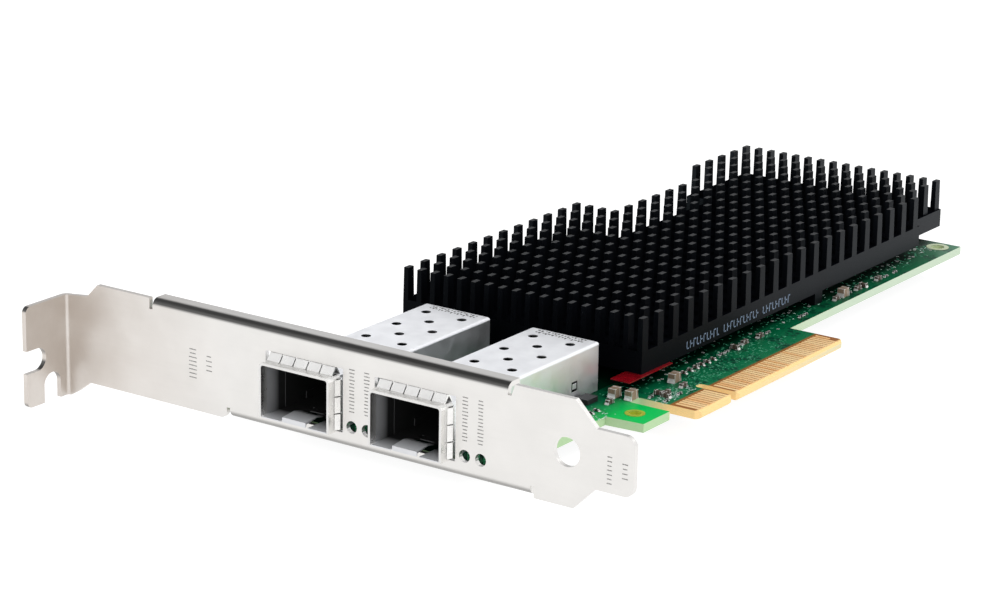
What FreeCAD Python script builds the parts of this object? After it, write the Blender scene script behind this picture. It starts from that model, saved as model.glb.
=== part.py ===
import FreeCAD, Part
import math
import os
import Sketcher

# Dual-port network interface card: low-profile board with an x8 edge connector, two
# small-form-factor cages, a pin-fin heat sink over the electronics and a full-height bracket.
#
# Frame, in millimetres: the origin is on the centre line of the key notch of the edge connector,
# at the tips of its contacts and half way through the board. +X runs along the card away from the
# bracket, +Y from the edge connector to the board's far edge and +Z out of the component side.

SIZES = {
    "board_thick": 1.57,
    "board_gap": 0.6,           # between the board and the inside of the bracket
    "board_finish": 108.8,      # edge of the board at the far end
    "board_low": 11.4,          # lower edge of the board, either side of the tongue
    "board_high": 68.9,         # upper edge of the board
    "tongue_start": -12.15,     # edge connector tongue, each side of the key notch
    "tongue_finish": 39.15,
    "tongue_bevel": 0.9,
    "key_width": 1.9,
    "key_depth": 7.85,
    "ear_start": -23.5,         # ear of the board beside the tongue
    "ear_finish": -15.1,
    "ear_low": 4.1,
    "ear_slot_top": 12.5,       # round end of the slot between the ear and the tongue
    "contact_pitch": 1.0,
    "contact_width": 0.7,
    "contact_height": 4.6,
    "contact_thick": 0.05,
    "bracket_face": -58.2,      # outer face of the bracket
    "sheet_thick": 0.9,
    "bracket_low": -1.95,       # edge of the bracket on the solder side
    "bracket_width": 18.42,
    "bracket_length": 120.02,
    "tail_tip": -15.95,         # end of the tongue that drops into the chassis
    "tail_length": 7.24,
    "tail_slope": 4.11,
    "tab_depth": 11.43,
    "tab_offset": 3.17,         # how far the tab reaches past the bracket on the solder side
    "tab_width": 18.6,
    "bend_radius": 0.6,         # inside radius of the bends
    "screw_slot_centre": 3.3,   # open slot of the tab for the chassis screw
    "screw_slot_width": 4.2,
    "screw_slot_depth": 4.9,
    "guide_slot_depth": 5.2,    # second slot of the tab, open on the solder side
    "guide_slot_width": 4.2,
    "guide_slot_centre": -62.3,
    "flange_depth": 3.4,        # folded edges that stiffen the bracket
    "top_flange_start": 8.4,
    "top_flange_finish": 83.2,
    "low_flange_start": 3.7,
    "low_flange_finish": 66.0,
    "bracket_hole": 5.0,
    "bracket_hole_y": -3.2,
    "bracket_hole_z": 7.3,
    "port_centre": 27.0,        # centre of the port nearer the edge connector
    "port_pitch": 23.1,
    "cage_width": 14.2,
    "cage_top": 9.75,
    "cage_bend": 0.5,           # outside radius of the bends of the cage sheet
    "cage_front": -59.2,
    "cage_back": -13.2,
    "cage_sheet": 0.2,
    "sleeve_end": -54.0,        # back of the raised sleeve at the front of a cage
    "mouth_front": -60.8,       # front of the collar round the mouth of a port
    "mouth_width": 14.0,
    "mouth_top": 10.3,
    "collar_depth": 1.6,
    "collar_thick": 0.45,
    "top_finger_lift": 1.3,     # how far the spring fingers stand proud of the collar
    "side_finger_lift": 0.55,
    "window_gap": 0.8,          # between the sides of the collar and the cut in the bracket
    "window_rise": 1.35,        # between the top of the collar and the cut
    "window_shift": -0.2,       # the cuts sit a little towards the card's lower edge
    "vent_diameter": 1.8,
    "vent_step": 4.44,
    "vent_spread": 3.9,
    "vent_first": -17.75,
    "led_diameter": 2.2,
    "led_height": 2.2,
    "sink_start": -7.25,        # heat sink plate
    "sink_finish": 111.1,
    "sink_near": 14.9,
    "sink_low": 3.1,
    "sink_plate": 4.1,
    "pin_height": 6.1,
    "pin_length": 1.9,
    "pin_breadth": 1.1,
    "pin_step_along": 5.06,
    "pin_step_across": 2.99,
    "chip_side": 25.0,
    "chip_thick": 1.8,
}

doc = FreeCAD.newDocument("network_interface_card")
sheet = doc.addObject("Spreadsheet::Sheet", "Sizes")
for row, (name, value) in enumerate(SIZES.items(), start=1):
    sheet.set("A%d" % row, name)
    sheet.set("B%d" % row, str(value))
    sheet.setAlias("B%d" % row, name)
doc.recompute()


class Dim:
    """A length that knows both its number and the spreadsheet expression that drives it."""

    def __init__(self, value, text):
        self.value = value
        self.text = text

    def __add__(self, other):
        other = as_dim(other)
        return Dim(self.value + other.value, "(%s + %s)" % (self.text, other.text))

    def __sub__(self, other):
        other = as_dim(other)
        return Dim(self.value - other.value, "(%s - %s)" % (self.text, other.text))

    def __mul__(self, factor):
        factor = as_dim(factor)
        return Dim(self.value * factor.value, "(%s * %s)" % (self.text, factor.text))

    def __truediv__(self, divisor):
        divisor = as_dim(divisor)
        return Dim(self.value / divisor.value, "(%s / %s)" % (self.text, divisor.text))

    def __neg__(self):
        return Dim(-self.value, "(0 - %s)" % self.text)

    __radd__ = __add__

    def __rsub__(self, other):
        return as_dim(other) - self

    __rmul__ = __mul__


def as_dim(value):
    """Turn a plain number into a Dim, and leave a Dim as it is."""
    return value if isinstance(value, Dim) else Dim(float(value), "%.6f" % value)


class SheetReader:
    """Gives each size of the spreadsheet by its name, as s.board_thick."""

    def __getattr__(self, name):
        return Dim(float(sheet.get(name)), "Sizes.%s" % name)


s = SheetReader()
pieces = []                     # the objects that are written out, in the order they are made


def bind(obj, path, dim):
    obj.setExpression(path, as_dim(dim).text)


def place(obj, corner):
    for axis, dim in zip("xyz", corner):
        bind(obj, "Placement.Base." + axis, dim)


def box(name, size, corner):
    """Block with its lowest corner at corner."""
    obj = doc.addObject("Part::Box", name)
    for path, dim in zip(("Length", "Width", "Height"), size):
        bind(obj, path, dim)
    place(obj, corner)
    return obj


AXIS_TURNS = {
    "X": FreeCAD.Rotation(FreeCAD.Vector(0, 1, 0), 90),
    "Y": FreeCAD.Rotation(FreeCAD.Vector(1, 0, 0), -90),
    "Z": FreeCAD.Rotation(),
}


def rod(name, diameter, length, start, axis="Z", sides=0):
    """Cylinder that starts at start and runs along +axis, or a prism where it has sides."""
    if sides:
        obj = doc.addObject("Part::Prism", name)
        obj.Polygon = sides
        bind(obj, "Circumradius", as_dim(diameter) / 2)
    else:
        obj = doc.addObject("Part::Cylinder", name)
        bind(obj, "Radius", as_dim(diameter) / 2)
    bind(obj, "Height", length)
    obj.Placement = FreeCAD.Placement(FreeCAD.Vector(), AXIS_TURNS[axis])
    place(obj, start)
    return obj


def joined(name, shapes):
    obj = doc.addObject("Part::MultiFuse", name)
    obj.Shapes = shapes
    return obj


def cut(name, base, tools):
    """Base with every tool taken away."""
    obj = doc.addObject("Part::Cut", name)
    obj.Base = base
    obj.Tool = tools[0] if len(tools) == 1 else joined(name + "_tools", tools)
    return obj


def group(name, solids):
    """Identical pieces that share one node, each a solid of its own."""
    obj = doc.addObject("Part::Compound", name)
    obj.Links = solids
    return obj


def keep(obj, label):
    obj.Label = label
    pieces.append(obj)
    return obj


def origin_plane(body, role):
    return next(f for f in body.Origin.OriginFeatures if f.Role == role)


def outline(body, name, role, points):
    """Closed sketch through points, each coordinate held by the spreadsheet."""
    sketch = body.newObject("Sketcher::SketchObject", name)
    sketch.AttachmentSupport = (origin_plane(body, role), [""])
    sketch.MapMode = "FlatFace"
    points = [(as_dim(u), as_dim(v)) for u, v in points]
    count = len(points)
    for n, (u, v) in enumerate(points):
        after = points[(n + 1) % count]
        start = FreeCAD.Vector(u.value, v.value, 0)
        end = FreeCAD.Vector(after[0].value, after[1].value, 0)
        sketch.addGeometry(Part.LineSegment(start, end), False)
    for n in range(count):
        sketch.addConstraint(Sketcher.Constraint("Coincident", n, 2, (n + 1) % count, 1))
    for n, (u, v) in enumerate(points):
        across = sketch.addConstraint(Sketcher.Constraint("DistanceX", n, 1, u.value))
        sketch.setExpression("Constraints[%d]" % across, u.text)
        up = sketch.addConstraint(Sketcher.Constraint("DistanceY", n, 1, v.value))
        sketch.setExpression("Constraints[%d]" % up, v.text)
    return sketch


def hole_sketch(body, name, role, holes):
    """Sketch of circles, each given as centre u, centre v and diameter."""
    sketch = body.newObject("Sketcher::SketchObject", name)
    sketch.AttachmentSupport = (origin_plane(body, role), [""])
    sketch.MapMode = "FlatFace"
    for n, (u, v, diameter) in enumerate(holes):
        u, v, diameter = as_dim(u), as_dim(v), as_dim(diameter)
        centre = FreeCAD.Vector(u.value, v.value, 0)
        sketch.addGeometry(Part.Circle(centre, FreeCAD.Vector(0, 0, 1), diameter.value / 2), False)
        across = sketch.addConstraint(Sketcher.Constraint("DistanceX", n, 3, u.value))
        sketch.setExpression("Constraints[%d]" % across, u.text)
        up = sketch.addConstraint(Sketcher.Constraint("DistanceY", n, 3, v.value))
        sketch.setExpression("Constraints[%d]" % up, v.text)
        wide = sketch.addConstraint(Sketcher.Constraint("Diameter", n, diameter.value))
        sketch.setExpression("Constraints[%d]" % wide, diameter.text)
    return sketch


def pad(body, sketch, length, middle=False):
    feature = body.newObject("PartDesign::Pad", sketch.Name + "_pad")
    feature.Profile = sketch
    bind(feature, "Length", length)
    feature.Midplane = middle
    doc.recompute()
    return feature


def pocket_through(body, sketch):
    """Cut a sketch through the whole body, and check that it took something away."""
    before = body.Shape.Volume
    feature = body.newObject("PartDesign::Pocket", sketch.Name + "_pocket")
    feature.Profile = sketch
    feature.Type = "ThroughAll"
    feature.Midplane = True
    doc.recompute()
    if not body.Shape.Volume < before - 1e-6:
        raise RuntimeError("nothing was cut by " + sketch.Name)
    return feature


def shape_edges(body, kind, name, size_name, size, edges):
    """Round or bevel some edges of a body as it stands."""
    before = body.Tip
    feature = body.newObject(kind, name)
    feature.Base = (before, edges)
    bind(feature, size_name, size)
    doc.recompute()
    return feature


def edges_along(shape, direction, reach, wanted):
    """Names of the straight edges along a direction, at least reach long, that wanted picks."""
    names = []
    for n, edge in enumerate(shape.Edges, start=1):
        if not isinstance(edge.Curve, Part.Line) or edge.Length < reach:
            continue
        if abs(abs(edge.Curve.Direction.dot(direction)) - 1) < 1e-6 and wanted(edge.CenterOfMass):
            names.append("Edge%d" % n)
    return names


X_AXIS = FreeCAD.Vector(1, 0, 0)
Y_AXIS = FreeCAD.Vector(0, 1, 0)
Z_AXIS = FreeCAD.Vector(0, 0, 1)

board_top = s.board_thick / 2
board_bottom = -(s.board_thick / 2)
bracket_inside = s.bracket_face + s.sheet_thick
bracket_high = s.bracket_low + s.bracket_width
tab_face = s.tail_tip + s.bracket_length
port_centres = [s.port_centre, s.port_centre + s.port_pitch]
PORTS = ("right", "left")       # as seen by someone who faces the bracket, tab to the left
board_start = bracket_inside + s.board_gap
LIGHT_OFFSETS = {"link_lights": -10.3, "activity_lights": -13.5}    # from a port's centre
SMALL_ROUND = 16                # sides of the small holes and screws, which repeat
screw_spots = [(-50.0, 15.6), (-50.0, 61.5)]
sink_screw_spots = [(56.0, 16.3), (2.0, 59.0), (56.0, 56.5), (100.0, 59.0)]


# ---- circuit board --------------------------------------------------------------------------

def circuit_board():
    """Board with the tongue of the edge connector, its key notch, the ear and the screw holes."""
    body = doc.addObject("PartDesign::Body", "board_blank")
    half_key = s.key_width / 2
    bevel = s.tongue_bevel
    points = [
        (board_start, s.board_low),
        (s.ear_start - 0.6, s.board_low),
        (s.ear_start, s.ear_low),
        (s.ear_finish, s.ear_low),
        (s.ear_finish, s.ear_slot_top),
        (s.tongue_start, s.ear_slot_top),
        (s.tongue_start, bevel),
        (s.tongue_start + bevel, 0),
        (-half_key - bevel / 2, 0),
        (-half_key, bevel / 2),
        (-half_key, s.key_depth),
        (half_key, s.key_depth),
        (half_key, bevel / 2),
        (half_key + bevel / 2, 0),
        (s.tongue_finish - bevel, 0),
        (s.tongue_finish, bevel),
        (s.tongue_finish, s.board_low),
        (s.board_finish, s.board_low),
        (s.board_finish, s.board_high),
        (board_start, s.board_high),
    ]
    pad(body, outline(body, "board_outline", "XY_Plane", points), s.board_thick, middle=True)
    slot_middle = (s.ear_finish.value + s.tongue_start.value) / 2
    corners = edges_along(
        body.Shape, Z_AXIS, 1.0,
        lambda c: (c.y > 12 and abs(c.x - slot_middle) < 3) or (abs(c.x) < 1 and c.y > 7),
    )
    shape_edges(body, "PartDesign::Fillet", "slot_ends", "Radius", 0.85, corners)
    edge_line = edges_along(body.Shape, X_AXIS, 5.0, lambda c: abs(c.y) < 1e-6)
    shape_edges(body, "PartDesign::Chamfer", "insertion_bevel", "Size", 0.4, edge_line)

    under = board_bottom - 1
    deep = s.board_thick + 2
    holes = [(x, y, 2.7) for x, y in screw_spots] + [(-19.6, 8.3, 2.0), (105.6, 15.0, 2.6)]
    tools = [
        rod("board_hole_%d" % number, diameter, deep, (x, y, under), sides=SMALL_ROUND)
        for number, (x, y, diameter) in enumerate(holes)
    ]
    for number, (x, y) in enumerate(sink_screw_spots):
        tools.append(box("sink_hole_%d" % number, (2.0, 2.0, deep), (x - 1.0, y - 1.0, under)))
    return keep(cut("circuit_board", body, tools), "circuit_board")


def edge_contacts(label, side):
    """Gold contacts of one side of the tongue, spaced from the key notch outwards."""
    pitch = s.contact_pitch.value
    width = s.contact_width.value
    thick = s.contact_thick.value
    tall = s.contact_height.value
    first = 1.5 + width / 2
    left = [-first - 0.0 - pitch * n for n in range(11)]
    right = [first + pitch * n for n in range(38)]
    short = {right[-2], left[-1]}
    solids = []
    for centre in left + right:
        if not s.tongue_start.value + 0.3 < centre < s.tongue_finish.value - 0.5:
            continue
        low = 2.4 if centre in short else 0.42
        level = board_top.value if side > 0 else board_bottom.value - thick
        corner = FreeCAD.Vector(centre - width / 2, low, level)
        solids.append(Part.makeBox(width, tall + 0.75 - low, thick, corner))
    obj = doc.addObject("Part::Feature", label)
    obj.Shape = Part.makeCompound(solids)
    return keep(obj, label)


def ear_ring():
    """Plated ring round the hole in the ear of the board."""
    outer = rod("ear_ring_disc", 3.6, 0.06, (-19.6, 8.3, board_top), sides=SMALL_ROUND)
    inner = rod("ear_ring_hole", 2.1, 1.0, (-19.6, 8.3, board_top - 0.5), sides=SMALL_ROUND)
    return keep(cut("ear_ring", outer, [inner]), "ear_ring")


def corner_ring():
    """Plated ring round the hole at the far corner of the board."""
    outer = rod("corner_ring_disc", 4.6, 0.06, (105.6, 15.0, board_top), sides=SMALL_ROUND)
    inner = rod("corner_ring_hole", 2.7, 1.0, (105.6, 15.0, board_top - 0.5), sides=SMALL_ROUND)
    return keep(cut("corner_ring", outer, [inner]), "corner_ring")


# ---- bracket --------------------------------------------------------------------------------

def bracket_plate():
    """Flat of the bracket: shoulders, tail, windows for the ports, light holes and round hole."""
    body = doc.addObject("PartDesign::Body", "bracket_plate")
    low = s.bracket_low
    high = bracket_high
    tail_root = s.tail_tip + s.tail_length
    shoulder = tail_root + s.tail_slope
    bend_start = tab_face - s.sheet_thick - s.bend_radius
    tab_low = low - s.tab_offset
    tab_high = tab_low + s.tab_width
    relief = 0.7                # width of the cuts that end the folded edges
    notch = 2.0                 # depth of those cuts
    fold_low = board_bottom + s.bend_radius
    fold_high = high - s.sheet_thick - s.bend_radius
    points = [
        (s.tail_tip, low + s.tail_slope),
        (tail_root, low + s.tail_slope),
        (shoulder, low),
        (s.low_flange_start - relief, low),
        (s.low_flange_start - relief, low + notch),
        (s.low_flange_start, low + notch),
        (s.low_flange_start, fold_low),
        (s.low_flange_finish, fold_low),
        (s.low_flange_finish, low + notch),
        (s.low_flange_finish + relief, low + notch),
        (s.low_flange_finish + relief, low),
        (98.0, low),
        (100.9, tab_low + 1.0),
        (bend_start, tab_low),
        (bend_start, tab_high),
        (98.3, tab_high + 0.5),
        (95.9, high),
        (s.top_flange_finish + relief, high),
        (s.top_flange_finish + relief, high - notch),
        (s.top_flange_finish, high - notch),
        (s.top_flange_finish, fold_high),
        (s.top_flange_start, fold_high),
        (s.top_flange_start, high - notch),
        (s.top_flange_start - relief, high - notch),
        (s.top_flange_start - relief * 2, high),
        (shoulder, high),
        (tail_root, high - s.tail_slope),
        (s.tail_tip, high - s.tail_slope),
    ]
    sketch = outline(body, "bracket_outline", "YZ_Plane", points)
    bind(sketch, "AttachmentOffset.Base.z", s.bracket_face)
    pad(body, sketch, s.sheet_thick)
    pocket_through(body, hole_sketch(body, "bracket_hole", "YZ_Plane",
                                     [(s.bracket_hole_y, s.bracket_hole_z, s.bracket_hole)]))
    tail_corners = edges_along(body.Shape, X_AXIS, 0.5, lambda c: c.y < s.tail_tip.value + 0.1)
    shape_edges(body, "PartDesign::Fillet", "tail_corners", "Radius", 1.9, tail_corners)
    corner_y = (s.low_flange_finish + relief).value
    low_corner = edges_along(
        body.Shape, X_AXIS, 0.5, lambda c: abs(c.y - corner_y) < 0.1 and c.z < low.value + 0.1,
    )
    shape_edges(body, "PartDesign::Fillet", "low_corner", "Radius", 1.3, low_corner)
    return body


def bracket():
    """Whole bracket, one folded sheet: plate, tab with its slots, and folded edges."""
    thick = s.sheet_thick
    radius = s.bend_radius
    low = s.bracket_low
    tab_low = low - s.tab_offset
    solids = [bracket_plate()]

    # Tab: bends outwards, towards -X.
    bend_centre_x = s.bracket_face - radius
    bend_centre_y = tab_face - thick - radius
    solids.append(quarter_bend("tab_bend", bend_centre_x, bend_centre_y, tab_low, s.tab_width))
    tab_end = bracket_inside - s.tab_depth
    tab = box("tab_plate", (bend_centre_x - tab_end, thick, s.tab_width), (tab_end, tab_face - thick, tab_low))
    solids.append(tab)

    # Folded edge along the top, and the one that the board rests on.
    high = bracket_high
    fold_x = bracket_inside + radius
    top_length = s.top_flange_finish - s.top_flange_start
    solids.append(
        fold("top_fold", fold_x, high - thick - radius, s.top_flange_start, top_length, True)
    )
    solids.append(box(
        "top_flange", (s.flange_depth - thick - radius, top_length, thick),
        (fold_x, s.top_flange_start, high - thick),
    ))
    low_length = s.low_flange_finish - s.low_flange_start
    solids.append(
        fold("low_fold", fold_x, board_bottom + radius, s.low_flange_start, low_length, False)
    )
    solids.append(box(
        "low_flange", (s.flange_depth - thick - radius, low_length, thick),
        (fold_x, s.low_flange_start, board_bottom - thick),
    ))
    for number, (x, y) in enumerate(screw_spots):
        lug_length = as_dim(x) + 3.6 - fold_x
        solids.append(box(
            "lug_%d" % number, (lug_length, 8.0, thick), (fold_x, y - 4.0, board_bottom - thick),
        ))
    sheet_metal = joined("bracket_sheet", solids)

    # Slots and windows.
    tools = []
    slot_low = s.screw_slot_centre - s.screw_slot_width / 2
    slot_end = tab_end + s.screw_slot_depth
    reach_y = tab_face - thick - 1
    tools.append(box(
        "screw_slot_mouth", (s.screw_slot_depth - s.screw_slot_width / 2 + 1, thick + 2, s.screw_slot_width),
        (tab_end - 1, reach_y, slot_low),
    ))
    tools.append(rod(
        "screw_slot_end", s.screw_slot_width, thick + 2,
        (slot_end - s.screw_slot_width / 2, reach_y, s.screw_slot_centre), "Y",
    ))
    guide_top = tab_low + s.guide_slot_depth
    tools.append(box(
        "guide_slot_mouth",
        (s.guide_slot_width, thick + 2, s.guide_slot_depth - s.guide_slot_width / 2 + 1),
        (s.guide_slot_centre - s.guide_slot_width / 2, reach_y, tab_low - 1),
    ))
    tools.append(rod(
        "guide_slot_end", s.guide_slot_width, thick + 2,
        (s.guide_slot_centre, reach_y, guide_top - s.guide_slot_width / 2), "Y",
    ))
    half = s.mouth_width / 2 + s.collar_thick + s.window_gap
    window_low = board_top + 0.1
    window_high = s.mouth_top + s.collar_thick + s.window_rise
    for side, centre in zip(PORTS, port_centres):
        tools.append(box(
            "window_" + side, (thick + 2, half * 2, window_high - window_low),
            (s.bracket_face - 1, centre + s.window_shift - half, window_low),
        ))
        for offset in LIGHT_OFFSETS.values():
            tools.append(rod(
                "light_hole_%s_%d" % (side, -offset), s.led_diameter, thick + 2,
                (s.bracket_face - 1, centre + offset, s.led_height), "X", SMALL_ROUND,
            ))
    for number, (x, y) in enumerate(screw_spots):
        tools.append(rod(
            "lug_hole_%d" % number, 2.7, 4, (x, y, board_bottom - thick - 1), sides=SMALL_ROUND,
        ))
    whole = cut("bracket_cut", sheet_metal, tools)
    doc.recompute()
    corners = edges_along(
        whole.Shape, Y_AXIS, 0.5,
        lambda c: c.x < tab_end.value + 0.2 and (c.z > 12 or c.z < tab_low.value + 0.2),
    )
    rounded = doc.addObject("Part::Fillet", "bracket")
    rounded.Base = whole
    rounded.Edges = [(int(name[4:]), 1.2, 1.2) for name in corners]
    return keep(rounded, "bracket")


def quarter_bend(name, centre_x, centre_y, low, height):
    """Quarter of a round bend that joins the bracket's plate to its tab."""
    outer = rod(name + "_outer", (s.bend_radius + s.sheet_thick) * 2, height, (centre_x, centre_y, low))
    inner = rod(name + "_inner", s.bend_radius * 2, height + 2, (centre_x, centre_y, low - 1))
    room = s.bend_radius + s.sheet_thick
    corner = box(name + "_quarter", (room, room, height), (centre_x, centre_y, low))
    ring = cut(name + "_ring", outer, [inner])
    part = doc.addObject("Part::Common", name)
    part.Base = ring
    part.Tool = corner
    return part


def fold(name, centre_x, centre_z, start_y, length, upwards):
    """Quarter bend, along Y, between the plate and a folded edge."""
    room = s.bend_radius + s.sheet_thick
    outer = rod(name + "_outer", room * 2, length, (centre_x, start_y, centre_z), "Y")
    inner = rod(name + "_inner", s.bend_radius * 2, length + 2, (centre_x, start_y - 1, centre_z), "Y")
    lift = 0 if upwards else -room
    corner = box(name + "_quarter", (room, length, room), (centre_x - room, start_y, centre_z + lift))
    ring = cut(name + "_ring", outer, [inner])
    part = doc.addObject("Part::Common", name)
    part.Base = ring
    part.Tool = corner
    return part


def bracket_screws():
    """Two pan-head screws that hold the board to the lugs of the bracket."""
    screws = []
    for number, (x, y) in enumerate(screw_spots):
        under = board_bottom - s.sheet_thick
        head = rod("screw_head_%d" % number, 4.6, 1.3, (x, y, under - 1.3), sides=12)
        shank = rod("screw_shank_%d" % number, 2.4, 5.1, (x, y, under - 0.1), sides=12)
        drive = box("screw_drive_%d" % number, (3.0, 0.6, 0.7), (x - 1.5, y - 0.3, under - 1.4))
        cross = box("screw_cross_%d" % number, (0.6, 3.0, 0.7), (x - 0.3, y - 1.5, under - 1.4))
        whole = joined("screw_body_%d" % number, [head, shank])
        screws.append(cut("screw_%d" % number, whole, [drive, cross]))
    return keep(group("bracket_screws", screws), "bracket_screws")


def bracket_nuts():
    """Hexagon nuts on the component side, over the two bracket screws."""
    nuts = []
    for number, (x, y) in enumerate(screw_spots):
        prism = doc.addObject("Part::Prism", "nut_prism_%d" % number)
        prism.Polygon = 6
        prism.Circumradius = 2.9
        prism.Height = 2.0
        place(prism, (x, y, board_top))
        bore = rod("nut_bore_%d" % number, 2.6, 4, (x, y, board_top - 1), sides=SMALL_ROUND)
        nuts.append(cut("nut_%d" % number, prism, [bore]))
    return keep(group("bracket_nuts", nuts), "bracket_nuts")


# ---- cages ----------------------------------------------------------------------------------

def cage_shell(side, centre):
    """Cover of a port cage: thin sheet over the top, sides and back, with vents in the top."""
    thick = s.cage_sheet
    length = s.cage_back - s.cage_front
    low = board_top + 0.1
    block = box(
        "shell_block_" + side, (length, s.cage_width, s.cage_top - low),
        (s.cage_front, centre - s.cage_width / 2, low),
    )
    doc.recompute()
    bends = edges_along(block.Shape, X_AXIS, 1.0, lambda c: c.z > s.cage_top.value - 0.1)
    bends += edges_along(block.Shape, Y_AXIS, 1.0, lambda c: c.z > 5 and c.x > s.cage_back.value - 0.1)
    bends += edges_along(block.Shape, Z_AXIS, 1.0, lambda c: c.x > s.cage_back.value - 0.1)
    outer = doc.addObject("Part::Fillet", "shell_outer_" + side)
    outer.Base = block
    bend = s.cage_bend.value
    outer.Edges = [(int(edge[4:]), bend, bend) for edge in bends]
    sleeve_half = s.mouth_width / 2 + thick
    sleeve_length = s.sleeve_end - s.cage_front
    sleeve = box(
        "shell_sleeve_" + side, (sleeve_length, sleeve_half * 2, s.mouth_top + thick - low),
        (s.cage_front, centre - sleeve_half, low),
    )
    mouth = box(
        "shell_mouth_" + side, (sleeve_length - thick + 1, s.mouth_width, s.mouth_top - low + 1),
        (s.cage_front - 1, centre - s.mouth_width / 2, low - 1),
    )
    inner = box(
        "shell_inner_" + side, (length - thick + 1, s.cage_width - thick * 2, s.cage_top - low - thick + 1),
        (s.cage_front - 1, centre - s.cage_width / 2 + thick, low - 1),
    )
    tools = [inner, mouth]
    for step in range(6):
        spread = (0,) if step % 2 else (-1, 1)
        for sign in spread:
            tools.append(rod(
                "vent_%s_%d_%d" % (side, step, sign + 1), s.vent_diameter, 2,
                (s.vent_first - s.vent_step * step, centre + s.vent_spread * sign, s.cage_top - 1),
                sides=10,
            ))
    for wall in (-1, 1):
        tools.append(box(
            "lock_window_%s_%d" % (side, wall + 1), (1.8, 1.0, 1.8),
            (-21.9, centre + s.cage_width / 2 * wall - 0.5, board_top + 1.9),
        ))
    solid = joined("shell_solid_" + side, [outer, sleeve])
    return keep(cut("cage_shell_" + side, solid, tools), "cage_shell_" + side)


def cage_base(side, centre):
    """Floor of a port cage, with low side rims and the sprung tongue that a module latches to."""
    thick = s.cage_sheet
    inside = s.cage_width - thick * 2 - 0.1
    front = s.mouth_front + 0.1
    length = -32.0 - front
    level = board_top + 0.2
    tongue_root = front + 9.0
    tongue_width = 5.0
    crest = 1.05                # height of the tongue's crest over the floor
    floor = box("floor_" + side, (length, inside, thick), (front, centre - inside / 2, level))
    opening = box("tongue_opening_" + side, (10, tongue_width + 0.8, 2),
                  (front - 1, centre - tongue_width / 2 - 0.4, level - 1))
    parts = [cut("floor_cut_" + side, floor, [opening])]
    for wall, y in (("near", centre - inside / 2), ("far", centre + inside / 2 - thick)):
        parts.append(box("rim_%s_%s" % (side, wall), (length - 14, thick, 1.5), (front + 12, y, level)))
    body = doc.addObject("PartDesign::Body", "tongue_" + side)
    profile = [
        (tongue_root + 0.5, level), (tongue_root + 0.5, level + thick), (tongue_root - 0.5, level + thick),
        (front + 3.2, level + crest + thick), (front, level + crest - 0.1), (front, level + 0.1),
        (front + thick, level + 0.1), (front + thick, level + crest - 0.4), (front + 3.2, level + crest),
        (tongue_root - 0.4, level),
    ]
    sketch = outline(body, "tongue_profile_" + side, "XZ_Plane", profile)
    bind(sketch, "AttachmentOffset.Base.z", -centre)
    pad(body, sketch, tongue_width, middle=True)
    parts.append(body)
    latch_hole = box("latch_hole_" + side, (2.2, 3.0, 2), (front + 4.2, centre - 1.5, level))
    return keep(cut("cage_base_" + side, joined("base_sheet_" + side, parts), [latch_hole]), "cage_base_" + side)


def rounded_frame(depth, start, half, top, radius, middle, low):
    """Solid that fills the mouth of a port up to half and top, its upper corners rounded."""
    block = Part.makeBox(depth, 2 * half, top - low, FreeCAD.Vector(start, middle - half, low))
    upper = [
        edge for edge in block.Edges
        if abs(edge.BoundBox.XLength - depth) < 1e-6 and edge.CenterOfMass.z > top - 0.01
    ]
    return block.makeFillet(radius, upper)


def gasket(side, centre):
    """Collar round the mouth of a cage, with five spring fingers above and three on each side."""
    middle = centre.value
    low = board_top.value + 0.2
    thick = 0.2
    front = s.mouth_front.value
    depth = s.collar_depth.value
    half = s.mouth_width.value / 2
    top = s.mouth_top.value
    wall = s.collar_thick.value

    collar = rounded_frame(depth, front, half + wall, top + wall, 0.8, middle, low)
    collar = collar.cut(rounded_frame(depth + 2, front - 1, half, top, 0.45, middle, low - 1))
    back = front + depth
    sleeve_half = half + s.cage_sheet.value
    sleeve_top = top + s.cage_sheet.value
    band = rounded_frame(1.6, back, sleeve_half + thick, sleeve_top + thick, 0.5, middle, low)
    hollow = Part.makeBox(
        4.0, 2 * sleeve_half, sleeve_top - low + 1, FreeCAD.Vector(back, middle - sleeve_half, low - 1),
    )
    carrier = collar.fuse(band).cut(hollow)

    def finger(lift, width):
        """A finger from y = 0 to width: x from the back of the collar, z from its outer face."""
        profile = [
            (-0.4, -0.1), (-0.4, 0.05), (0.0, 0.05), (0.9, lift), (1.35, lift), (2.3, -0.15),
            (2.05, -0.2), (1.2, lift - thick), (0.2, -0.1),
        ]
        corners = [FreeCAD.Vector(x, 0, z) for x, z in profile]
        face = Part.Face(Part.makePolygon(corners + corners[:1]))
        return face.extrude(FreeCAD.Vector(0, width, 0))

    fingers = []
    gap = 0.22

    def split(count, start, finish):
        """Start and width of each of count fingers between start and finish."""
        width = (finish - start - gap * (count - 1)) / count
        return [(start + n * (width + gap), width) for n in range(count)]

    for start, width in split(5, middle - half + 0.1, middle + half - 0.1):
        top_finger = finger(s.top_finger_lift.value, width)
        top_finger.translate(FreeCAD.Vector(back, start, top + wall))
        fingers.append(top_finger)
    for sign in (-1, 1):
        for start, width in split(3, low + 0.35, top - 0.25):
            side_finger = finger(s.side_finger_lift.value, width)
            side_finger.rotate(FreeCAD.Vector(), X_AXIS, -90 * sign)
            rise = start + width if sign > 0 else start
            side_finger.translate(FreeCAD.Vector(back, middle + sign * (half + wall), rise))
            fingers.append(side_finger)
    obj = doc.addObject("Part::Feature", "gasket_" + side)
    obj.Shape = carrier.multiFuse(fingers).removeSplitter()
    return keep(obj, "gasket_" + side)


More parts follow.
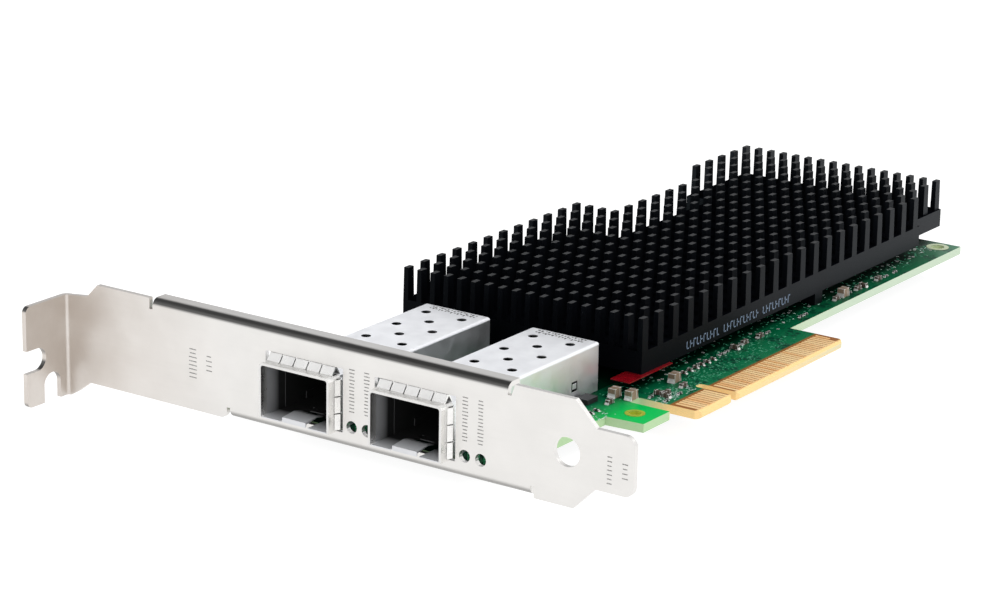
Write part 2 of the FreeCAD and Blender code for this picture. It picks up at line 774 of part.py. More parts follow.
def host_connector(side, centre):
    """Twenty-way card socket at the back of a cage."""
    block = box("socket_block_" + side, (9.6, 11.6, 6.4), (-27.6, centre - 5.8, board_top + 0.1))
    slot = box("socket_slot_" + side, (7.0, 9.4, 1.3), (-28.6, centre - 4.7, board_top + 2.9))
    lip = box("socket_lip_" + side, (2.6, 9.4, 2.2), (-28.6, centre - 4.7, board_top + 4.9))
    return keep(cut("host_connector_" + side, block, [slot, lip]), "host_connector_" + side)


def status_lights(label, offset):
    """Side-facing lamps on the board, one for each port, each behind its hole in the bracket."""
    lamps = []
    for side, centre in zip(PORTS, port_centres):
        y = centre + offset
        front = board_start + 0.5
        body = box("%s_body_%s" % (label, side), (1.1, 1.7, 1.1), (front, y - 0.85, board_top))
        lens = box("%s_lens_%s" % (label, side), (0.4, 1.1, 0.7), (front - 0.4, y - 0.55, board_top + 0.2))
        lamps.append(joined("%s_%s" % (label, side), [body, lens]))
    return keep(group(label, lamps), label)


# ---- heat sink ------------------------------------------------------------------------------

PIN_COLUMNS = 24
PIN_ROWS = 18


def pin_is_there(column, row):
    """Pins fill the plate, apart from its stepped far edge and one short corner."""
    if column <= 11:
        return True
    if column <= 18:
        return row <= 14
    if row > 16:
        return False
    return not (row == 0 and column >= 21)


def heat_sink():
    """One casting: a thick stepped plate, tapered pins all over it and feet that reach the board."""
    along = s.pin_step_along.value
    across = s.pin_step_across.value
    start = s.sink_start.value
    near = s.sink_near.value
    low = s.sink_low.value
    top = low + s.sink_plate.value
    length = s.pin_length.value
    breadth = s.pin_breadth.value
    first_x = start + length / 2
    first_y = near + breadth / 2

    def far_edge(row):
        return first_y + row * across + breadth / 2

    def column_edge(column):
        return first_x + (column - 0.5) * along

    corner_x = column_edge(21) - 0.6
    corner_y = near + 2.6
    finish = s.sink_finish.value
    points = [
        (start, near), (corner_x, near), (corner_x, corner_y), (finish, corner_y),
        (finish, far_edge(16)), (column_edge(19), far_edge(16)), (column_edge(19), far_edge(14)),
        (column_edge(12), far_edge(14)), (column_edge(12), far_edge(17)), (start, far_edge(17)),
    ]
    wire = Part.makePolygon([FreeCAD.Vector(x, y, low) for x, y in points + points[:1]])
    plate = Part.Face(wire).extrude(FreeCAD.Vector(0, 0, top - low))
    step = Part.makeBox(60, 60, 0.5, FreeCAD.Vector(corner_x, corner_y - 1, low))
    plate = plate.cut(step)

    sink = 0.3
    draft = 0.08
    pins = []
    for column in range(PIN_COLUMNS):
        for row in range(PIN_ROWS):
            if not pin_is_there(column, row):
                continue
            x = first_x + column * along - length / 2
            y = first_y + row * across - breadth / 2
            pin = Part.makeWedge(
                x, top - sink, y, y + draft, x + draft,
                x + length, top + s.pin_height.value, y + breadth, y + breadth - draft, x + length - draft,
            )
            pins.append(upright(pin))
    feet = []
    for x, y in sink_screw_spots:
        feet.append(Part.makeBox(2.8, 2.8, low - board_top.value + 0.8,
                                 FreeCAD.Vector(x - 1.4, y - 1.4, board_top.value)))
    obj = doc.addObject("Part::Feature", "heat_sink")
    solid = plate.multiFuse(pins + feet)
    for x, y in sink_screw_spots:
        bore = 0.9
        corner = FreeCAD.Vector(x - bore, y - bore, board_top.value - 0.1)
        solid = solid.cut(Part.makeBox(2 * bore, 2 * bore, 3.4, corner))
    obj.Shape = solid
    return keep(obj, "heat_sink")


def upright(wedge):
    """Wedges are made with their axis along Y: swap it with Z, without mirroring."""
    turn = FreeCAD.Matrix()
    turn.A22, turn.A23 = 0, 1
    turn.A32, turn.A33 = 1, 0
    return wedge.transformGeometry(turn)


def heat_sink_screws():
    """Screws from the solder side into the feet of the heat sink."""
    screws = []
    for number, (x, y) in enumerate(sink_screw_spots):
        head = rod("sink_screw_head_%d" % number, 3.6, 1.0, (x, y, board_bottom - 1.0), sides=12)
        shank = rod("sink_screw_shank_%d" % number, 1.6, 4.2, (x, y, board_bottom - 0.1), sides=8)
        slot = box("sink_screw_slot_%d" % number, (2.4, 0.5, 0.6), (x - 1.2, y - 0.25, board_bottom - 1.1))
        screws.append(cut("sink_screw_%d" % number, joined("sink_screw_body_%d" % number, [head, shank]), [slot]))
    return keep(group("heat_sink_screws", screws), "heat_sink_screws")


# ---- electronics ----------------------------------------------------------------------------

def controller():
    """Network controller under the heat sink, and the pad that carries its heat."""
    side = s.chip_side
    x, y = 42.0, 26.0
    keep(box("controller_chip", (side, side, s.chip_thick), (x, y, board_top)), "controller_chip")
    gap = s.sink_low - board_top - s.chip_thick
    pad_side = side - 3
    keep(box("thermal_pad", (pad_side, pad_side, gap), (x + 1.5, y + 1.5, board_top + s.chip_thick)), "thermal_pad")


def insulating_film():
    """Red film under the corner of the heat sink, reaching out towards the cages."""
    strip = box("insulating_film", (14.2, 4.0, 0.2), (-12.2, 14.2, s.sink_low - 0.2))
    return keep(strip, "insulating_film")


def chips(label, size, spots, turned=()):
    """Group of like chips that stand on the board, given by the centre of each."""
    length, width, height = size
    solids = []
    for number, (x, y) in enumerate(spots):
        across = number in turned
        half_x = (width if across else length) / 2
        half_y = (length if across else width) / 2
        solids.append(box(
            "%s_%d" % (label, number), (2 * half_x, 2 * half_y, height), (x - half_x, y - half_y, board_top),
        ))
    return keep(group(label, solids) if len(solids) > 1 else solids[0], label)


def electronics():
    controller()
    insulating_film()
    chips("tall_capacitors", (2.0, 1.5, 1.7), [(-13.6, 12.9), (-14.3, 15.9), (-0.9, 12.0), (63.4, 13.6)])
    chips("capacitors", (1.6, 0.8, 0.8),
          [(-17.9, 14.6), (-9.1, 8.6), (-7.6, 9.4), (-8.6, 10.4), (-2.4, 9.2), (69.0, 13.4), (71.4, 13.6),
           (77.4, 13.5), (60.4, 13.4), (22.0, 13.2), (25.6, 13.3), (30.8, 13.1)], turned=(1, 3, 6, 9))
    chips("resistors", (1.0, 0.5, 0.4),
          [(-10.9, 7.4), (-10.8, 10.6), (-6.2, 7.6), (-22.6, 14.2), (-24.4, 14.2), (-26.2, 14.2), (17.4, 13.3),
           (19.2, 13.3), (34.0, 13.2), (46.4, 13.3), (48.2, 13.3), (66.0, 13.6), (80.2, 13.3), (84.0, 13.3)],
          turned=(3, 4, 5))
    chips("oscillator", (3.2, 2.5, 0.9), [(-19.6, 18.2)])
    chips("power_inductors", (4.2, 4.2, 2.0), [(10.0, 24.0), (10.0, 32.0), (10.0, 40.0)])
    chips("power_converters", (5.0, 4.0, 0.9), [(18.0, 24.0), (18.0, 32.0), (18.0, 40.0)])
    chips("flash_chip", (6.0, 5.0, 1.0), [(88.0, 36.0)])
    chips("connector_capacitors", (1.0, 0.5, 0.5), [(4.0 + 2.0 * n, 13.0) for n in range(6)], turned=range(6))


circuit_board()
edge_contacts("contacts_component_side", 1)
edge_contacts("contacts_solder_side", -1)
ear_ring()
corner_ring()
bracket()
bracket_screws()
bracket_nuts()
for port_side, port_middle in zip(PORTS, port_centres):
    cage_shell(port_side, port_middle)
    cage_base(port_side, port_middle)
    gasket(port_side, port_middle)
    host_connector(port_side, port_middle)
for light_label, light_offset in LIGHT_OFFSETS.items():
    status_lights(light_label, light_offset)
heat_sink()
heat_sink_screws()
electronics()

doc.recompute()
for obj in doc.Objects:
    if "Invalid" in obj.State or "Error" in obj.State:
        raise RuntimeError("%s failed to build" % obj.Name)
os.makedirs("parts", exist_ok=True)
for obj in pieces:
    shape = obj.Shape
    if shape.isNull() or not shape.isValid():
        raise RuntimeError("%s has no valid shape" % obj.Label)
    shape.exportStep("parts/%s.step" % obj.Label)
    print("%-26s solids %3d  volume %9.2f" % (obj.Label, len(shape.Solids), shape.Volume))
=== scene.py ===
"""Dual-port network interface card: finishes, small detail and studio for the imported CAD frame."""
import math
import random

import bmesh
import bpy
from mathutils import Matrix, Vector


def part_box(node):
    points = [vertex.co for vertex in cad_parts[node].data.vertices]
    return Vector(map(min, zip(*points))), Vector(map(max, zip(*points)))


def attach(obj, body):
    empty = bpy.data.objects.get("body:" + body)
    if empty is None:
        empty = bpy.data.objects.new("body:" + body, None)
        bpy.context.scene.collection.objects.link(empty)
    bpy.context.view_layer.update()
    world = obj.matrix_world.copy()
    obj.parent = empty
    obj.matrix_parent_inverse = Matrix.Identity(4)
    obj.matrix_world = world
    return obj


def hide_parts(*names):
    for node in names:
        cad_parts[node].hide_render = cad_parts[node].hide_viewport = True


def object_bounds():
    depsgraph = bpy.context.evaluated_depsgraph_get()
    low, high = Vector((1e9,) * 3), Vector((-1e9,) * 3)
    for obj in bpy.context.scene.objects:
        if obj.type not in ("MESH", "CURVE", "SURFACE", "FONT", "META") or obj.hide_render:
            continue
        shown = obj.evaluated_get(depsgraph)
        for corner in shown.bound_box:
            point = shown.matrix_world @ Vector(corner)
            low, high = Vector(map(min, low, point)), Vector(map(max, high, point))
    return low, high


bl_info = {
    "name": "Network interface card",
    "version": (1, 0, 0),
    "blender": (4, 5, 0),
    "location": "View3D > Sidebar > Card",
    "description": "Finishes a dual-port network card and sets up its studio",
    "category": "Object",
}

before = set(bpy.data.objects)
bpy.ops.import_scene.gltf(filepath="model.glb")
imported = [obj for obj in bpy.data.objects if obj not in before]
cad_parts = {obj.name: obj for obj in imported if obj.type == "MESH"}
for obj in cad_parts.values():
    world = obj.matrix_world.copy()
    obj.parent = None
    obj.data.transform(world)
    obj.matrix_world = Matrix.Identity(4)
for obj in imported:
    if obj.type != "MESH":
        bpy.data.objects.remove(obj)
CAD_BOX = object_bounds()

MM = 0.001
BOARD_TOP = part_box("circuit_board")[1][2] / MM      # this and the next sizes are in millimetres
PORT_CENTRES = (27.0, 50.1)                         # along Y
PORT_HALF = 7.05                # a port's inner walls are nearer to its centre than this
PORT_ROOF = 9.65                # and lower than this
FOLD_START = 9.2                # a cage's rounded upper edges are above this
PORT_MOUTH = -60.8              # front of a port's collar
CONTACT_PITCH = 1.0
BRACKET_FACE = -58.2
CAGE_TOP = 9.75
ROUND_STEPS = 16                # sides of a ring or a hole
CHIP_BODY, CHIP_TIN = 0, 1      # material slots of a chip part


def linear(hex_code):
    """Linear RGB from an sRGB hex code such as #1a2b3c."""
    channels = [int(hex_code[i:i + 2], 16) / 255 for i in (1, 3, 5)]
    return tuple(c / 12.92 if c <= 0.04045 else ((c + 0.055) / 1.055) ** 2.4 for c in channels)


def colour(hex_code, name, description):
    """A colour that a user can change."""
    return bpy.props.FloatVectorProperty(
        name=name, description=description, subtype="COLOR", size=3, min=0, max=1,
        default=linear(hex_code))


def length(millimetres, least, name, description):
    """A length that a user can change, kept in metres."""
    return bpy.props.FloatProperty(
        name=name, description=description, subtype="DISTANCE", unit="LENGTH", precision=5,
        default=millimetres * MM, min=least * MM)


class CardColours(bpy.types.PropertyGroup):
    """Colours of the card's finishes."""

    mask: colour("#04764a", "Mask", "Solder mask over copper")
    mask_dark: colour("#034a33", "Mask between tracks", "Solder mask beside the tracks")
    mask_bare: colour("#00c85a", "Mask on the ear", "Solder mask where no copper lies under it")
    laminate: colour("#aecb9f", "Laminate", "Cut edge of the laminate")
    # Painted highlight: the paler tone painted on the cut edge and the rings towards the far end.
    far_edge_highlight: colour("#bccbb8", "Far laminate", "Cut edge of the laminate at the far end")
    laminate_warm: colour("#f8d090", "Bevel", "Bevelled edge of the tongue")
    tongue: colour("#9c6028", "Tongue", "Laminate between the contacts")
    gold: colour("#ffdda2", "Gold", "Gold plating of the contacts")
    copper: colour("#f0aa60", "Worn gold", "Copper tint of worn gold plating")
    ring: colour("#c3d040", "Ring", "Plated ring under the solder mask")
    bracket: colour("#e3e1de", "Bracket", "Nickel plate of the bracket")
    tab: colour("#cfc6be", "Tab", "Warm tint of the bracket near its tab")
    cage: colour("#f0f1f4", "Cage", "Tin plate of the port cages")
    spring: colour("#f7f6f4", "Spring strip", "Bright plate of the spring gaskets")
    steel: colour("#b9b9b6", "Screws", "Zinc plate of the screws and nuts")
    heat_sink: colour("#050609", "Heat sink", "Black coating of the heat sink")
    film: colour("#8e0a18", "Film", "Insulating film under the heat sink")
    ceramic: colour("#8f7a66", "Tall capacitor", "Ceramic body of a tall capacitor")
    # Ceramic of the small capacitors, darker than the tall ones with painted shade for the shade
    # they lie in.
    shaded_ceramic: colour("#4f4036", "Small capacitor", "Ceramic body of a small capacitor")
    tin: colour("#e9e9e6", "Tin", "Tinned ends and solder")
    chip: colour("#111214", "Chip", "Moulding compound of chips and sockets")
    pad_blue: colour("#8d99a5", "Pad", "Heat-conducting pad")
    pad_pale: colour("#a9b3bd", "Pad, pale", "Pale grains of the heat-conducting pad")
    lens: colour("#4c9a70", "Lamp", "Indicator lamp")
    lens_dark: colour("#176a42", "Lamp, dark", "Darker clouds in the indicator lamp")
    ink: colour("#d6f4ea", "Board print", "Pale print of the board")
    faint_ink: colour("#58b08c", "Faint board print", "Print of the board where the ink is thin")
    sink_ink: colour("#7f93ad", "Heat sink print", "Pale blue print of the heat sink")
    # Painted shade: the colour the cage wall is painted deep inside a port.
    mark: colour("#45423f", "Marks", "Grey marks on the metal")
    port_shade_colour: colour("#0b0b0a", "Port", "Cage wall deep inside a port")
    floor: colour("#8c8c8c", "Floor", "Studio floor before its glow")


class CardSizes(bpy.types.PropertyGroup):
    """Sizes of the detail added to the card, and the lens."""

    end_cap: bpy.props.FloatProperty(
        name="Tinned end", description="Tinned end as a part of a chip's length",
        subtype="FACTOR", default=0.26, min=0.05, max=0.5)
    solder_reach: length(0.28, 0, "Solder reach", "How far a solder fillet reaches from a chip")
    print_lift: length(0.015, 0.005, "Print height", "Height of print over the surface under it")
    via_ring: length(0.6, 0.1, "Via ring", "Outer diameter of a via's ring")
    # The inside of a port is painted with shade over this depth.
    mouth_fade: length(5.0, 0.5, "Port fade", "Depth over which the inside of a port darkens")
    focal_length: bpy.props.FloatProperty(
        name="Focal length", description="Focal length of the camera, in millimetres",
        unit="CAMERA", default=114.6, min=10)


# ---- materials ------------------------------------------------------------------------------

class Nodes:
    """The emptied node tree of a material or a world."""

    def __init__(self, owner):
        owner.use_nodes = True
        self.owner = owner
        self.tree = owner.node_tree
        self.tree.nodes.clear()

    def add(self, kind, inputs=(), output="", **settings):
        """Add a node with its settings and links, and return one of its outputs, or the first.

        inputs are values, or outputs that feed them, by name or in the order the node shows."""
        node = self.tree.nodes.new("ShaderNode" + kind)
        for key, value in settings.items():
            setattr(node, key, value)
        shown = [socket for socket in node.inputs if socket.enabled]
        if isinstance(inputs, dict):
            named = {socket.name: socket for socket in shown}
            pairs = [(named[name], value) for name, value in inputs.items()]
        else:
            pairs = zip(shown, inputs)
        for socket, value in pairs:
            if isinstance(value, bpy.types.NodeSocket):
                self.tree.links.new(value, socket)
            else:
                socket.default_value = (*value, 1) if socket.type == "RGBA" else value
        given = [socket for socket in node.outputs if socket.enabled]
        return next((socket for socket in given if output in ("", socket.name)), None)


class Finish(Nodes):
    """A new material, patterned in the card's own coordinates."""

    def __init__(self, name, slot_colour):
        super().__init__(bpy.data.materials.new(name))
        self.owner.diffuse_color = (*slot_colour, 1)
        self.where = self.add("TexCoord", output="Object")

    def axes(self):
        """Distances along the card's axes, in metres, and how far the surface faces along each."""
        return [self.add("SeparateXYZ", (given,)).node.outputs
                for given in (self.where, self.where.node.outputs["Normal"])]

    def close(self, shader):
        """Give the material its shader, and return it."""
        self.add("OutputMaterial", {"Surface": shader})
        return self.owner


def in_port(s, place, facing):
    """1 between a port's walls and under its roof, but 0 on the cage's outer fold and elsewhere."""
    sides = []
    for centre in PORT_CENTRES:
        offset = s.add("Math", (place["Y"], centre * MM), operation="SUBTRACT")
        sides.append(s.add("Math", (offset,), operation="ABSOLUTE"))
    nearest = s.add("Math", sides, operation="MINIMUM")
    across = s.add("Math", (nearest, PORT_HALF * MM), operation="LESS_THAN")
    under = s.add("Math", (place["Z"], PORT_ROOF * MM), operation="LESS_THAN")
    between = s.add("Math", (across, under), operation="MULTIPLY")
    high = s.add("Math", (place["Z"], FOLD_START * MM), operation="GREATER_THAN")
    upward = s.add("Math", (facing["Z"], 0.02), operation="GREATER_THAN")
    outer_fold = s.add("Math", (high, upward), operation="MULTIPLY")
    inner = s.add("Math", (1.0, outer_fold), operation="SUBTRACT")
    return s.add("Math", (between, inner), operation="MULTIPLY")


def satin_nickel(name, c):
    """Rolled, nickel-plated sheet steel, which looks satin.

    It has a faint mottle, fine rolling grain, a warm tint near the tab and painted shade on its
    bends."""
    s = Finish(name, c.bracket)
    place, facing = s.axes()
    mottle = s.add("TexNoise", {"Vector": s.where, "Scale": 1 / (7 * MM), "Detail": 3})
    # Real rolling grain is finer, and is drawn as coarse as it needs to show.
    rolled = s.add("Mapping", {"Vector": s.where, "Scale": (1, 0.08, 1)})
    grain = s.add("TexNoise", {"Vector": rolled, "Scale": 1 / (0.5 * MM)})

    near_tab = s.add("MapRange", (place["Y"], 66 * MM, 100 * MM))
    patches = s.add("MapRange", (mottle, 0.3, 0.7, 0.6, 1.0))
    warmth = s.add("Math", (near_tab, patches), operation="MULTIPLY")
    tone = s.add("Mix", (warmth, c.bracket, c.tab), data_type="RGBA")
    cloud = s.add("MapRange", (mottle, 0.35, 0.65, 0, 0.16))
    tone = s.add("Mix", (cloud, tone, c.bracket * 0.75), data_type="RGBA")

    # The slopes of the bends are painted darker, as if they mirrored a dark part of the room.
    leaning = s.add("MapRange", (facing["Z"], 0.2, 0.45))
    not_flat = s.add("MapRange", (facing["Z"], 0.93, 1.0, 1, 0.35))
    upper = s.add("Math", (leaning, not_flat), operation="MULTIPLY")
    hanging = s.add("MapRange", (facing["Z"], -0.1, -0.5, 0, 0.65))
    not_under = s.add("MapRange", (facing["Z"], -0.99, -0.9))
    lower = s.add("Math", (hanging, not_under), operation="MULTIPLY")
    either = s.add("Math", (upper, lower), operation="MAXIMUM")
    sideways = s.add("Math", (facing["Y"],), operation="ABSOLUTE")
    straight = s.add("MapRange", (sideways, 0.1, 0.3, 1, 0))
    bend_shade = s.add("Math", (either, straight), operation="MULTIPLY")
    tone = s.add("Mix", (bend_shade, tone, c.bracket * 0.16), data_type="RGBA")

    rough = s.add("MapRange", (grain, 0.3, 0.7, 0.34, 0.42))
    bump = s.add("Bump", {"Height": grain, "Distance": 0.004 * MM, "Strength": 0.5})
    return s.close(s.add("BsdfPrincipled", {
        "Base Color": tone, "Metallic": 1.0, "Roughness": rough, "Normal": bump}))


def tin_plate(name, base, port_shade_colour, mouth_fade, rough_low=0.34, rough_high=0.46):
    """Thin stamped sheet steel, tin-plated: soft reflections, small stains and slight waves.

    The port walls and the lips are darkened with painted shade, and the folds and ledges are less
    metallic."""
    s = Finish(name, base)
    place, facing = s.axes()
    stain = s.add("TexNoise", {"Vector": s.where, "Scale": 1 / (3 * MM), "Detail": 3})
    wave = s.add("TexNoise", {"Vector": s.where, "Scale": 1 / (6 * MM), "Detail": 1})
    fine = s.add("TexNoise", {"Vector": s.where, "Scale": 1 / (0.25 * MM)})

    stained = s.add("MapRange", (stain, 0.4, 0.7, 0, 0.22))
    tone = s.add("Mix", (stained, base, base * 0.78), data_type="RGBA")
    inside = in_port(s, place, facing)
    # The inside of a port gets painted shade that deepens away from the mouth, and it is duller
    # there.
    depth = s.add("MapRange", (place["X"], PORT_MOUTH * MM, PORT_MOUTH * MM + mouth_fade))
    deep = s.add("MapRange", (depth, 0.1, 1, 0.0, 0.985))
    shade_in_port = s.add("Math", (inside, deep), operation="MULTIPLY")
    tone = s.add("Mix", (shade_in_port, tone, port_shade_colour), data_type="RGBA")
    # Faces that look to the front are painted with shade.
    lip_shade = s.add("MapRange", (facing["X"], -0.95, -0.85, 0.34, 0.0))
    tone = s.add("Mix", (lip_shade, tone, base * 0.3), data_type="RGBA")

    rough = s.add("MapRange", (stain, 0.3, 0.7, rough_low, rough_high))
    dull_rough = s.add("Math", (shade_in_port, 0.6), operation="MULTIPLY")
    rough = s.add("Math", (rough, dull_rough), operation="MAXIMUM")

    leaning = s.add("MapRange", (facing["Z"], 0.03, 0.15))
    not_flat = s.add("MapRange", (facing["Z"], 0.985, 0.999, 1, 0))
    fold = s.add("Math", (leaning, not_flat), operation="MULTIPLY")
    upward = s.add("MapRange", (facing["Z"], 0.4, 0.8))
    ledge = s.add("Math", (inside, upward), operation="MULTIPLY")
    edge = s.add("Math", (fold, ledge), operation="MAXIMUM")
    metal_dull = s.add("MapRange", (shade_in_port, 0, 1, 0.96, 0.2))
    metal_edge = s.add("MapRange", (edge, 0, 1, 0.96, 0.2))
    metal = s.add("Math", (metal_dull, metal_edge), operation="MINIMUM")

    waves = s.add("Bump", {"Height": wave, "Distance": 0.05 * MM, "Strength": 0.4})
    bump = s.add("Bump", {"Height": fine, "Distance": 0.004 * MM, "Strength": 0.4, "Normal": waves})
    gloss = s.add("MapRange", (shade_in_port, 0, 1, 0.5, 0.1))
    return s.close(s.add("BsdfPrincipled", {
        "Base Color": tone, "Metallic": metal, "Roughness": rough, "Normal": bump,
        "Specular IOR Level": gloss}))


def bright_steel(name, base):
    """Zinc-plated, turned steel of the screws and nuts, with fine turning marks."""
    s = Finish(name, base)
    turned = s.add("Mapping", {"Vector": s.where, "Scale": (1, 1, 4)})
    marks = s.add("TexNoise", {"Vector": turned, "Scale": 1 / (0.3 * MM)})
    worn = s.add("MapRange", (marks, 0.3, 0.7, 0, 0.3))
    tone = s.add("Mix", (worn, base, base * 0.6), data_type="RGBA")
    rough = s.add("MapRange", (marks, 0.3, 0.7, 0.25, 0.4))
    bump = s.add("Bump", {"Height": marks, "Distance": 0.01 * MM, "Strength": 0.4})
    return s.close(s.add("BsdfPrincipled", {
        "Base Color": tone, "Metallic": 1.0, "Roughness": rough, "Normal": bump}))


def hard_gold(name, c):
    """Hard gold, electroplated over nickel: each contact a little different, and wiped in use."""
    s = Finish(name, c.gold)
    along = s.add("SeparateXYZ", (s.where,), output="X")
    pitches = s.add("Math", (along, CONTACT_PITCH * MM), operation="DIVIDE")
    number = s.add("Math", (pitches,), operation="FLOOR")
    chance = s.add("TexWhiteNoise", {"W": number}, noise_dimensions="1D")
    worn = s.add("MapRange", (chance, 0.35, 1.0, 0, 0.8))
    tone = s.add("Mix", (worn, c.gold, c.copper), data_type="RGBA")
    wiped = s.add("Mapping", {"Vector": s.where, "Scale": (1, 0.05, 1)})
    scratch = s.add("TexNoise", {"Vector": wiped, "Scale": 1 / (0.12 * MM)})
    rough = s.add("MapRange", (scratch, 0.3, 0.7, 0.3, 0.5))
    bump = s.add("Bump", {"Height": scratch, "Distance": 0.003 * MM, "Strength": 0.5})
    # Real gold is fully metallic. This low value gives it an even colour in any room.
    return s.close(s.add("BsdfPrincipled", {
        "Base Color": tone, "Metallic": 0.08, "Roughness": rough, "Normal": bump}))


def solder_mask(name, c):
    """Green epoxy solder mask, cured glossy over etched copper on glass laminate.

    It is darker between the tracks, has painted shade under the heat sink and inside the ports, and
    the routed edges are bare."""
    s = Finish(name, c.mask)
    place, facing = s.axes()
    level = s.add("Math", (facing["Z"],), operation="ABSOLUTE")
    face = s.add("MapRange", (level, 0.4, 0.6))
    tracks = s.add("TexVoronoi", {"Vector": s.where, "Scale": 1 / (1.3 * MM)},
                   feature="DISTANCE_TO_EDGE", distance="MANHATTAN")
    track = s.add("MapRange", (tracks, 0.05, 0.12, 1, 0))
    blotch = s.add("TexNoise", {"Vector": s.where, "Scale": 1 / (4 * MM), "Detail": 1})
    pour = s.add("MapRange", (blotch, 0.42, 0.46))
    copper = s.add("Math", (track, pour), operation="MAXIMUM")
    green = s.add("Mix", (copper, c.mask_dark, c.mask), data_type="RGBA")

    # The ear, at the bracket's end of the near edge, has no copper in it.
    outward = s.add("MapRange", (place["Y"], 10.5 * MM, 16.5 * MM, 1, 0))
    ear_end = s.add("MapRange", (place["X"], -15 * MM, -14 * MM, 1, 0))
    ear = s.add("Math", (outward, ear_end), operation="MULTIPLY")
    green = s.add("Mix", (ear, green, c.mask_bare), data_type="RGBA")

    # The board is painted darker under the heat sink and inside the ports.
    opening = s.add("AmbientOcclusion", {"Distance": 14 * MM}, output="AO", samples=8)
    light = s.add("MapRange", (opening, 0.35, 0.95, 0.02, 1.0))
    port_light = s.add("MapRange", (in_port(s, place, facing), 0, 1, 1, 0.15))
    light = s.add("Math", (light, port_light), operation="MULTIPLY")
    green = s.add("Mix", (light, c.mask_dark * 0.12, green), data_type="RGBA")

    past_ear = s.add("MapRange", (place["X"], -14.5 * MM, -14 * MM))
    low = s.add("MapRange", (place["Y"], 6.2 * MM, 5.8 * MM))
    on_tongue = s.add("Math", (low, past_ear), operation="MULTIPLY")
    top = s.add("Mix", (on_tongue, green, c.tongue), data_type="RGBA")
    lowest = s.add("MapRange", (place["Y"], 0.9 * MM, 0.6 * MM))
    tip = s.add("Math", (lowest, past_ear), operation="MULTIPLY")
    top = s.add("Mix", (tip, top, c.laminate_warm), data_type="RGBA")

    near_tongue = s.add("MapRange", (place["Y"], 12 * MM, 6 * MM))
    from_ear = s.add("MapRange", (place["X"], -15.5 * MM, -14.5 * MM))
    warmth = s.add("Math", (near_tongue, from_ear), operation="MULTIPLY")
    edge = s.add("Mix", (warmth, c.laminate, c.laminate_warm), data_type="RGBA")
    plies = s.add("Mapping", {"Vector": s.where, "Scale": (1, 1, 3)})
    weave = s.add("TexNoise", {"Vector": plies, "Scale": 1 / (0.3 * MM)})
    fibres = s.add("MapRange", (weave, 0.35, 0.65, 0, 0.2))
    edge = s.add("Mix", (fibres, edge, c.laminate * 0.7), data_type="RGBA")
    # The cut edge is made paler towards the far end with a painted highlight.
    far = s.add("MapRange", (place["X"], 0.0, 60 * MM, 0, 0.9))
    edge = s.add("Mix", (far, edge, c.far_edge_highlight), data_type="RGBA")
    tone = s.add("Mix", (face, edge, top), data_type="RGBA")

    relief = s.add("Math", (copper, 0.6), operation="MULTIPLY")
    orange_peel = s.add("TexNoise", {"Vector": s.where, "Scale": 1 / (0.4 * MM), "Detail": 1})
    peel = s.add("Math", (orange_peel, 0.2), operation="MULTIPLY")
    height = s.add("Math", (relief, peel), operation="ADD")
    bump = s.add("Bump", {"Height": height, "Distance": 0.02 * MM, "Strength": 0.5})
    rough = s.add("MapRange", (face, 0, 1, 0.6, 0.32))
    gloss = s.add("MapRange", (light, 0, 1, 0.0, 0.14))
    return s.close(s.add("BsdfPrincipled", {
        "Base Color": tone, "Roughness": rough, "IOR": 1.45, "Specular IOR Level": gloss,
        "Normal": bump}))


def black_coating(name, c):
    """Die-cast aluminium, coated black: fine grain, and pin tips that catch the light."""
    s = Finish(name, c.heat_sink)
    place, facing = s.axes()
    grain = s.add("TexNoise", {"Vector": s.where, "Scale": 1 / (0.18 * MM), "Detail": 3})
    cloud = s.add("TexNoise", {"Vector": s.where, "Scale": 1 / (5 * MM)})
    cloudy = s.add("MapRange", (cloud, 0.35, 0.7, 0, 0.5))
    tone = s.add("Mix", (cloudy, c.heat_sink, c.heat_sink * 1.8), data_type="RGBA")

    # The gloss is set by place: highest on the pin tips, and rising along the sides with X.
    upward = s.add("MapRange", (facing["Z"], 0.6, 0.9))
    high = s.add("MapRange", (place["Z"], 13 * MM, 15 * MM))
    tip = s.add("Math", (upward, high), operation="MULTIPLY")
    tip_gloss = s.add("Math", (tip, 0.7), operation="MULTIPLY")
    along = s.add("MapRange", (place["X"], 0.0, 100 * MM, 0.045, 0.19))
    upright = s.add("Math", (1.0, upward), operation="SUBTRACT")
    side_gloss = s.add("Math", (along, upright), operation="MULTIPLY")
    gloss = s.add("Math", (side_gloss, tip_gloss), operation="ADD")

    rough = s.add("MapRange", (grain, 0.3, 0.7, 0.42, 0.52))
    bump = s.add("Bump", {"Height": grain, "Distance": 0.01 * MM, "Strength": 0.5})
    return s.close(s.add("BsdfPrincipled", {
        "Base Color": tone, "Roughness": rough, "Specular IOR Level": gloss,
        "Specular Tint": (0.7, 0.85, 1.0), "Normal": bump}))


def red_film(name, c):
    """Plastic film, dyed red: thin, glossy and a little rippled."""
    s = Finish(name, c.film)
    ripple = s.add("TexNoise", {"Vector": s.where, "Scale": 1 / (1.6 * MM)})
    thick = s.add("MapRange", (ripple, 0.35, 0.7))
    tone = s.add("Mix", (thick, c.film, c.film * 0.55), data_type="RGBA")
    bump = s.add("Bump", {"Height": ripple, "Distance": 0.08 * MM, "Strength": 0.8})
    return s.close(s.add("BsdfPrincipled", {
        "Base Color": tone, "Roughness": 0.18, "Transmission Weight": 0.12, "Normal": bump}))


